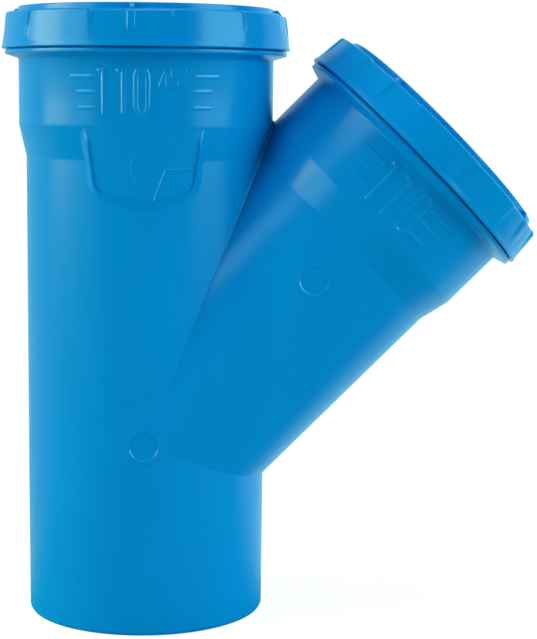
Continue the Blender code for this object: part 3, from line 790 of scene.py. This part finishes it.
def turned_piece(name, tree, section, columns, material, place, turn=0.0):
    """A turned piece in its place; the trees make all their geometry, so they start from nothing."""
    values = {"Section": section, "Columns": columns, "Rows": len(section.data.vertices),
              "Column Count": len(columns.data.vertices), "Turn": turn, "Material": material}
    piece = grow(name, start, tree, {**values, **RING_VALUES}, place)
    finish_mesh(piece, 34, weld=0.003)
    return piece


ring_points = section_object("ring_section", ring_line, ring_marks)
ring_angles = column_object("ring_columns", ring_columns())
seal_points = section_object("seal_section", seal_section())
seal_angles = column_object("seal_columns", np.linspace(-math.pi, math.pi, 129))
for side, place, turn in (("run", RUN_FLANGE_PLACE, RUN_TURN), ("branch", BRANCH_FLANGE_PLACE, BRANCH_TURN)):
    ring = turned_piece(f"{side}_ring", ring_tree, ring_points, ring_angles, BLUE_RING, place, turn)
    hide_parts(f"{side}_retaining_ring")
    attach(ring, "root")
    seal = turned_piece(f"{side}_lip_seal", seal_tree, seal_points, seal_angles, RUBBER, place)
    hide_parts(f"{side}_seal")
    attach(seal, "root")

# %% [markdown]
# ## Raised figures and bars
#
# The sockets carry their size in plain figures and rows of short bars that show how far a pipe is pushed
# in. In the mould they are shallow grooves cut with a round tool, so each stroke has a flat top and
# sloping flanks. They are drawn flat, as lines in millimetres, given a section with Curve to Mesh, and
# then the whole drawing is wrapped round the socket.

# %% The tree that wraps a flat drawing round a wall
def wrapped_strokes_tree():
    """Strokes with a section and a stud on each open end, round a wall whose radius may grow upwards."""
    tree, wires = geometry_tree("wrapped strokes", {
        "Section": "Object", "Stud": "Object", "Radius": "Float", "Growth": "Float", "Material": "Material"})
    profile = tree.add("GeometryNodeMeshToCurve", {"Mesh": read_mesh(tree, wires["Section"])})
    lines = tree.add("GeometryNodeMeshToCurve", {"Mesh": wires["Geometry"]})
    fine = tree.add("GeometryNodeResampleCurve", {"Curve": lines, "Length": 0.45}, mode="LENGTH")
    swept = tree.add("GeometryNodeCurveToMesh", {"Curve": fine, "Profile Curve": profile, "Fill Caps": True})
    ends = tree.add("GeometryNodeCurveEndpointSelection")
    closed = tree.add("GeometryNodeInputSplineCyclic")
    open_ends = tree.add("FunctionNodeBooleanMath", {0: ends, 1: closed}, operation="NIMPLY")
    studs = tree.add("GeometryNodeInstanceOnPoints", {
        "Points": fine, "Selection": open_ends, "Instance": read_mesh(tree, wires["Stud"])})
    flat = tree.add("GeometryNodeJoinGeometry")
    for part in (swept, tree.add("GeometryNodeRealizeInstances", {"Geometry": studs})):
        tree.feed(flat.socket.node.inputs[0], part)
    at = tree.add("ShaderNodeSeparateXYZ", {"Vector": tree.add("GeometryNodeInputPosition")})
    out = at.other("Z") + wires["Radius"] + at.other("Y") * wires["Growth"]
    end_tree(tree, wrap(tree, flat, at / wires["Radius"], out, at.other("Y")), wires["Material"])
    return tree


strokes_tree = wrapped_strokes_tree()
print("nodes in the strokes' tree:", len(strokes_tree.tree.nodes))

# %% Helpers: the drawing, a stroke's section and its round end
def line_drawing(name, strokes):
    """Strokes as lines of points (round the wall, up the wall); a closed one ends where it starts."""
    points, edges = [], []
    for stroke in strokes:
        closed = np.allclose(stroke[0], stroke[-1])
        first, stroke = len(points), stroke[:-1] if closed else stroke
        points += [(float(x), float(y), 0.0) for x, y in stroke]
        edges += [(first + i, first + i + 1) for i in range(len(stroke) - 1)]
        if closed:
            edges.append((len(points) - 1, first))
    return helper_object(name, points, edges)


def half_section(width, height, flank):
    """Half of a raised stroke's section: (distance from its middle, height), its foot below the wall."""
    top, foot = (width - flank) / 2, (width + flank) / 2
    return [(top, height), (top + flank * 0.2, height * 0.95), (foot - flank * 0.15, height * 0.1),
            (foot, -0.05), (foot, -0.3)]


def stroke_section(name, shape):
    right = half_section(*shape)
    ring = [(-x, y) for x, y in right[::-1]] + right
    edges = [(i, (i + 1) % len(ring)) for i in range(len(ring))]
    return helper_object(name, [(x, -y, 0.0) for x, y in ring], edges)


def stroke_stud(name, shape, sides=16):
    """The round end of a stroke: its half section turned."""
    profile = half_section(*shape)
    turns = [math.tau * k / sides for k in range(sides)]
    points = [(x * math.cos(t), x * math.sin(t), y) for x, y in profile for t in turns]
    faces = [[k for k in range(sides)], [len(points) - sides + k for k in range(sides)][::-1]]
    for row in range(len(profile) - 1):
        for k in range(sides):
            j, low = (k + 1) % sides, row * sides
            faces.append([low + k, low + sides + k, low + sides + j, low + j])
    return helper_object(name, points, faces=faces)


print("a bar's half section:", half_section(1.8, 0.34, 0.45))

# %% Draw the figures and the bars of both sockets
def degrees_to_mm(degrees):
    return math.radians(degrees) * SOCKET


def bar(left, right, height):
    return [(degrees_to_mm(left), height), (degrees_to_mm(right), height)]


def figure_one(stem, low, high):
    """A one: its stem and a short flag that leaves it near the top."""
    x = degrees_to_mm(stem)
    return [[(x, high), (x, low)], [(x - 2.1, high - 0.15), (x - 0.9, high)]]


def figure_nought(middle, half_width, low, high):
    """A tall nought with oval ends, as one closed line."""
    x, r, end = degrees_to_mm(middle), half_width, half_width * 1.5
    arc = np.linspace(0, math.pi, 15)
    top = [(x + r * math.cos(a), high - end + end * math.sin(a)) for a in arc]
    base = [(x - r * math.cos(a), low + end - end * math.sin(a)) for a in arc]
    return top + base + top[:1]


def angle_figures():
    """45 degrees in small figures, as (degrees round the socket, height)."""
    four = [(10.1, 1.6), (6.6, 1.6), (9.5, 8.6), (9.5, 0.2)]
    five = [(14.9, 8.4), (12.2, 8.4), (12.0, 4.8), (13.5, 5.1), (14.9, 3.9), (14.8, 1.6), (13.3, 0.3),
            (11.7, 1.0)]
    ring = [(17.0 + 1.1 * math.cos(a), 7.8 + 1.1 * math.sin(a)) for a in np.linspace(0, math.tau, 17)]
    return [[(degrees_to_mm(x), 156.15 + y * 1.06) for x, y in stroke] for stroke in (four, five, ring)]


run_low, branch_low, branch_high = 231.4 - CROSSING, 146.8, 166.0
run_strokes = [*figure_one(-17.1, run_low + 1.7, run_low + 19.8),
               *figure_one(-8.5, run_low + 1.7, run_low + 19.8),
               figure_nought(-0.8, 2.6, run_low + 0.75, run_low + 20.65)]
run_bars = [bar(left, right, height - CROSSING) for left, right, height in (
    (-32.1, -21.85, 248.8), (-28.85, -21.3, 242.1), (-28.15, -21.55, 235.3),
    (22.25, 33.1, 248.9), (21.95, 29.4, 242.5), (21.9, 28.9, 235.5))]
branch_strokes = [*figure_one(-9.2, branch_low, branch_high), *figure_one(-0.5, branch_low, branch_high),
                  figure_nought(9.4, 3.0, 146.2, 166.6)]
branch_bars = [bar(*ends) for ends in (
    (-26.3, -13.8, 162.35), (-22.3, -13.3, 155.7), (-20.7, -12.6, 149.3),
    (15.5, 27.7, 162.9), (15.0, 24.0, 156.5), (14.6, 22.4, 149.5))]
print("strokes on the run's socket:", len(run_strokes) + len(run_bars))

# %% Wrap the drawings round the sockets
# a stroke's width, its height and the width of its flank
FIGURE, SMALL_FIGURE, BAR = (1.5, 0.38, 0.85), (0.65, 0.24, 0.4), (1.8, 0.34, 0.45)
HAIRLINE, FAINT_LINE = (0.6, 0.18, 0.38), (0.5, 0.13, 0.34)
RUN_PLACE = Matrix.Translation((0, 0, CROSSING * MM))
RUN_TAPER_PLACE = Matrix.Translation((0, 0, (CROSSING + RUN_TAPER) * MM))
PIN_RADIUS = 6.35


def raised_marks(name, strokes, shape, place, radius=SOCKET, growth=0.0):
    """A drawing as raised strokes on a wall, as a piece of the body."""
    # the strokes take the paler marks material, a painted highlight
    values = {"Section": stroke_section(f"{name}_section", shape), "Stud": stroke_stud(f"{name}_stud", shape),
              "Radius": radius, "Growth": growth, "Material": MARKS_PAINTED_HIGHLIGHT}
    piece = grow(name, line_drawing(f"{name}_lines", strokes), strokes_tree, values, place)
    finish_mesh(piece, 25)
    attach(piece, "root")


panel_lines = [[(22.0, -3.7), (10.0, -3.9), (9.5, -4.3), (4.4, -17.6)]]
pin_arc = [[(0.5 + PIN_RADIUS * math.cos(a), 121.7 - RUN_TAPER + PIN_RADIUS * math.sin(a))
            for a in np.radians(np.linspace(125, 226, 15))]]
raised_marks("run_size_figures", run_strokes, FIGURE, RUN_PLACE)
raised_marks("run_angle_figures", angle_figures(), SMALL_FIGURE, RUN_PLACE)
raised_marks("run_depth_bars", run_bars, BAR, RUN_PLACE)
field_slope, fitted_at = 0.112, -12.0
field_at_taper = field_radius(np.array([fitted_at]))[0] - fitted_at * field_slope
raised_marks("frame_panel_lines", panel_lines, HAIRLINE, RUN_TAPER_PLACE, field_at_taper, field_slope)
raised_marks("frame_pin_mark", pin_arc, FAINT_LINE, RUN_TAPER_PLACE, field_at_taper, field_slope)
raised_marks("branch_size_figures", branch_strokes, FIGURE, BRANCH_PLACE)
raised_marks("branch_depth_bars", branch_bars, BAR, BRANCH_PLACE)

# %% [markdown]
# ## The round marks of the ejector pins
#
# Pins push the moulding out of its mould, and each leaves a round flat with a lip about it. The mark in
# the raised frame is only a faint arc, drawn above with the lines. The other two have a lip that is
# steep on the inside and runs out gently on the outside. It is laid on whatever wall lies under it,
# which a ray from the front finds.

# %% Lay a lip round each pin's mark
# the lip's section: distance out from the mark's radius, height above the wall
LIP = [(-0.32, -0.25), (-0.32, -0.06), (-0.2, 0.05), (0.2, 0.44), (0.36, 0.5), (0.8, 0.46), (1.8, 0.27),
       (3.2, 0.01), (3.5, -0.05), (3.5, -0.25)]
# the lip's first rows, its steep inner wall, are painted in the paler marks blue as a painted highlight
STEEP_ROWS_PAINTED_HIGHLIGHT = 3


def wall_in_front(piece):
    """A function that gives the y of the piece's foremost wall at x, z, all in millimetres."""
    wall = BVHTree.FromPolygons([v.co[:] for v in piece.data.vertices],
                                [face.vertices[:] for face in piece.data.polygons])

    def front(x, z):
        return wall.ray_cast(Vector((x, -200.0, z)) * MM, Vector((0, 1, 0)))[0].y / MM
    return front


def pin_mark(name, front, x, z, height=1.0, sides=72):
    """A lip round a pin's mark at x, z in millimetres; height scales how far it stands out."""
    points = []
    for out, proud in LIP:
        for k in range(sides):
            turn = math.tau * k / sides
            px, pz = x + (PIN_RADIUS + out) * math.cos(turn), z + (PIN_RADIUS + out) * math.sin(turn)
            points.append((px, front(px, pz) - (proud * height if proud > 0 else proud), pz))
    faces = []
    for row in range(len(LIP)):
        low, high = row * sides, (row + 1) % len(LIP) * sides
        faces += [(low + k, low + (k + 1) % sides, high + (k + 1) % sides, high + k) for k in range(sides)]
    piece = new_mesh_object(name, points, faces)
    finish_mesh(piece, 60)
    piece.data.materials.append(BLUE_BODY)
    piece.data.materials.append(MARKS_PAINTED_HIGHLIGHT)
    # the steep inner wall of the lip takes the paler marks material: a painted highlight along its arc
    for face in piece.data.polygons[:STEEP_ROWS_PAINTED_HIGHLIGHT * sides]:
        face.material_index = 1
    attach(piece, "root")


body_front = wall_in_front(moulded_body)
pin_mark("run_pin_mark", body_front, 0.0, CROSSING - 0.54)
on_branch = ALONG_BRANCH * 105.15 + ACROSS_BRANCH * 0.6
pin_mark("branch_pin_mark", body_front, on_branch[0], CROSSING + on_branch[2], 0.75)

# %% [markdown]
# ## The plastic and the rubber
#
# The body is polypropylene in a strong blue. Its mould was given a satin finish, so the surface has a very
# fine grain and its highlights are wide and soft. Where the plastic flowed slower the gloss changes a
# little, in long soft patches along the pipe. The raised marks are glossier, because the tool that cut
# them into the mould left it smooth there, and their blue is a touch paler as a painted highlight, so the
# strokes read as light lines. The ring comes from another mould and is a touch lighter and smoother too.
# The rubber is nearly black, with a dusty bloom.

# %% Materials
PLASTIC_IOR = 1.49
FLOW, DIMPLES, GRAIN = 28.0, 160.0, 2600.0  # patterns in the plastic, from coarse to fine


def empty_shader(owner):
    """An empty tree of shader nodes for a material or a world."""
    owner.use_nodes = True
    owner.node_tree.nodes.clear()
    return Tree(owner.node_tree)


def start_material(material):
    tree = empty_shader(material)
    return tree, tree.add("ShaderNodeTexCoord", output="Object")


def noise(tree, where, scale, detail=2.0, roughness=0.5):
    return tree.add("ShaderNodeTexNoise", {
        "Vector": where, "Scale": scale, "Detail": detail, "Roughness": roughness}, output="Fac")


def mix_colour(tree, factor, first, second):
    return tree.add("ShaderNodeMix", {"Factor": factor, 6: first, 7: second}, output=2, data_type="RGBA")


def finish_material(tree, colour, roughness, height, bump_distance, gloss=0.5):
    bump = tree.add("ShaderNodeBump", {"Strength": 1.0, "Distance": bump_distance, "Height": height})
    surface = tree.add("ShaderNodeBsdfPrincipled", {
        "Base Color": colour, "Roughness": roughness, "Normal": bump, "IOR": PLASTIC_IOR,
        "Specular IOR Level": gloss})
    tree.add("ShaderNodeOutputMaterial", {"Surface": surface})


def blue_plastic(material, deep, light, base_roughness, gloss=0.3):
    tree, where = start_material(material)
    stretched = tree.add("ShaderNodeMapping", {"Vector": where, "Scale": (1.0, 1.0, 0.35)})
    flow = noise(tree, stretched, FLOW, 3.0)
    grain = noise(tree, where, GRAIN, 2.0, 0.6)
    dimples = noise(tree, where, DIMPLES, 2.0)
    colour = mix_colour(tree, flow.rise(0.3, 0.7), deep, light)
    roughness = base_roughness + (flow - 0.5) * 0.05 + (grain - 0.5) * 0.06
    height = grain * 0.2 + dimples * 0.6
    finish_material(tree, colour, roughness, height, 0.02 * MM, gloss)


blue_plastic(BLUE_BODY, (0.0, 0.217, 0.608, 1), (0.0, 0.235, 0.642, 1), 0.22)
# a touch paler than the body: a painted highlight on the raised marks and the lips' steep walls; its lower
# roughness and higher gloss are real
blue_plastic(MARKS_PAINTED_HIGHLIGHT, (0.0, 0.236, 0.642, 1), (0.0, 0.248, 0.665, 1), 0.13, gloss=0.5)
blue_plastic(BLUE_RING, (0.0, 0.219, 0.612, 1), (0.0, 0.237, 0.648, 1), 0.19)
tree, where = start_material(RUBBER)
bloom = noise(tree, where, 90.0, 4.0)
black = mix_colour(tree, bloom.rise(0.35, 0.75), (0.008, 0.008, 0.009, 1), (0.022, 0.022, 0.023, 1))
finish_material(tree, black, 0.5 + bloom * 0.2, noise(tree, where, 1400.0), 0.08 * MM)
for piece in (moulded_body, raised_rim, sloping_field):
    piece.data.materials.append(BLUE_BODY)
print("materials:", BLUE_BODY.name, MARKS_PAINTED_HIGHLIGHT.name, BLUE_RING.name, RUBBER.name)

# %% [markdown]
# ## The camera
#
# The camera stands a little below the rim of the sockets and looks slightly down, so the rings show their
# upper faces and the spigot's foot is a shallow ellipse. Its place and lens were worked out from the
# outline of the photograph.

# %% Camera
YAW, PITCH, ROLL = math.radians(-2.833), math.radians(-7.408), math.radians(0.567)
CAMERA_AT, LENS, FILM_WIDTH = Vector((17.955, -798.19, 240.27)), 96.19, 36.0
forward = Vector((-math.sin(YAW) * math.cos(PITCH), math.cos(YAW) * math.cos(PITCH), math.sin(PITCH)))
level = Vector((math.cos(YAW), math.sin(YAW), 0.0))
above = level.cross(forward)
right = level * math.cos(ROLL) + above * math.sin(ROLL)
upright = above * math.cos(ROLL) - level * math.sin(ROLL)
camera_data = bpy.data.cameras.new("camera")
camera_data.lens, camera_data.sensor_width, camera_data.sensor_fit = LENS, FILM_WIDTH, "AUTO"
camera = bpy.data.objects.new("camera", camera_data)
turned = Matrix((right, upright, -forward)).transposed().to_4x4()
camera.matrix_world = Matrix.Translation(CAMERA_AT * MM) @ turned
bpy.context.scene.collection.objects.link(camera)
bpy.context.scene.camera = camera
bpy.context.scene.view_settings.view_transform = "Standard"
print("camera at", [round(v, 3) for v in camera.matrix_world.translation])

# %% [markdown]
# ## Floor and light
#
# The photograph has a white ground with hardly a shadow, tall soft boxes at both sides, and their
# reflections are the pale bands down the pipe. A band's place tells where its box stands, because a wall
# mirrors it at twice the angle of its normal. The studio is drawn on the sky as soft-edged panels, each
# with its directions and its colour: a panel at infinity lights all pieces alike and needs no lamp. In
# front there is nothing bright to reflect, so the middle of the pipe shows its pure blue, and the pale
# ground behind gives the outline its rim.

# %% Panels of light, each from one direction of the sky to another
# azimuths from and to (0 is the camera's side, positive to its right), elevations from and to, colour
PANELS = {
    "left soft box, far side": (-101, -72, -30, 39, (5.4, 7.2, 4.3)),
    "left soft box, near side": (-72, -48, -30, 39, (1.6, 3.9, 3.7)),
    "right soft box": (46, 85, -30, 39, (2.2, 5.6, 4.9)),
    "upper right lamp": (75, 101, 41, 59, (1.0, 1.2, 1.3)),
    "pale ground behind, left": (-200, -112, -30, 35, (0.36, 0.68, 0.74)),
    "pale ground behind, right": (112, 200, -30, 35, (0.45, 1.1, 1.2)),
    "front fill": (-112, 112, -30, 40, (0.0, 0.03, 0.04)),
    "high left": (-180, 0, 40, 76, (0.05, 0.42, 0.6)),
    "high right": (0, 180, 40, 76, (0.3, 0.4, 0.42)),
    "top light": (-180, 180, 76, 100, (3.0, 3.6, 3.6)),
}
SOFTNESS, DEGREES = 10.0, 180 / math.pi


def studio_sky(tree):
    """The colour of the sky in a direction: each panel's colour where its window is open, added up."""
    look = tree.add("ShaderNodeSeparateXYZ", {"Vector": tree.add("ShaderNodeTexCoord", output="Generated")})
    azimuth = tree.math("ARCTAN2", look, 0.0 - look.other("Y")) * DEGREES
    elevation = tree.math("ARCSINE", look.other("Z")) * DEGREES

    def window(value, low, high):
        half = SOFTNESS / 2
        return value.rise(low - half, low + half) * (1.0 - value.rise(high - half, high + half))

    sky = (0.0, 0.0, 0.0)
    for from_azimuth, to_azimuth, low, high, colour in PANELS.values():
        opened = window(azimuth, from_azimuth, to_azimuth) * window(elevation, low, high)
        sky = tree.add("ShaderNodeVectorMath", {0: opened, 1: colour, 2: sky}, operation="MULTIPLY_ADD")
    return sky


print("panels of light:", len(PANELS))

# %% Floor and sky: white to the camera, the studio to everything else
FLOOR_SIZE, FLOOR_WHITE, SKY_WHITE, SHADE = 40.0, 0.95, 1.03, 0.12
GROUND_GLOW, MORE_AT_RIGHT = 0.62, 0.4


def pale_floor():
    """Matt in front of the object, a bright ground behind it; to the camera, white with a faint shadow."""
    bpy.ops.mesh.primitive_plane_add(size=FLOOR_SIZE, location=(0, 0, 0))
    floor = bpy.context.object
    floor.name = "floor"
    material = bpy.data.materials.new("pale_floor")
    tree, where = start_material(material)
    place = tree.add("ShaderNodeSeparateXYZ", {"Vector": where})
    behind, to_the_right = place.other("Y").rise(-0.02, 0.08), place.rise(-0.05, 0.15)
    in_front = tree.add("ShaderNodeBsdfDiffuse", {"Color": (0.05, 0.64, 0.62, 1)})
    glow = GROUND_GLOW + to_the_right * MORE_AT_RIGHT
    bright = tree.add("ShaderNodeEmission", {"Color": (0.45, 1.0, 1.0, 1), "Strength": glow})
    ground = tree.add("ShaderNodeMixShader", {"Fac": behind, 1: in_front, 2: bright})
    shade = tree.add("ShaderNodeBsdfDiffuse", {"Color": (SHADE, SHADE, SHADE, 1)})
    white = tree.add("ShaderNodeEmission", {"Strength": FLOOR_WHITE})
    paper = tree.add("ShaderNodeAddShader", {0: white, 1: shade})
    seen = tree.add("ShaderNodeLightPath", output="Is Camera Ray")
    surface = tree.add("ShaderNodeMixShader", {"Fac": seen, 1: ground, 2: paper})
    tree.add("ShaderNodeOutputMaterial", {"Surface": surface})
    floor.data.materials.append(material)


def white_sky():
    """White to the camera, the studio's panels to everything else."""
    world = bpy.data.worlds.new("studio")
    tree = empty_shader(world)
    studio = tree.add("ShaderNodeBackground", {"Color": studio_sky(tree)})
    paper = tree.add("ShaderNodeBackground", {"Color": (1, 1, 1, 1), "Strength": SKY_WHITE})
    path = tree.add("ShaderNodeLightPath", output="Is Camera Ray")
    seen = path.at_least(path.other("Is Transmission Ray"))
    sky = tree.add("ShaderNodeMixShader", {"Fac": seen, 1: studio, 2: paper})
    tree.add("ShaderNodeOutputWorld", {"Surface": sky})
    bpy.context.scene.world = world


pale_floor()
white_sky()
print("world:", bpy.context.scene.world.name)

# %% Clear the helpers and finish
for obj in HELPERS:
    bpy.data.objects.remove(obj)
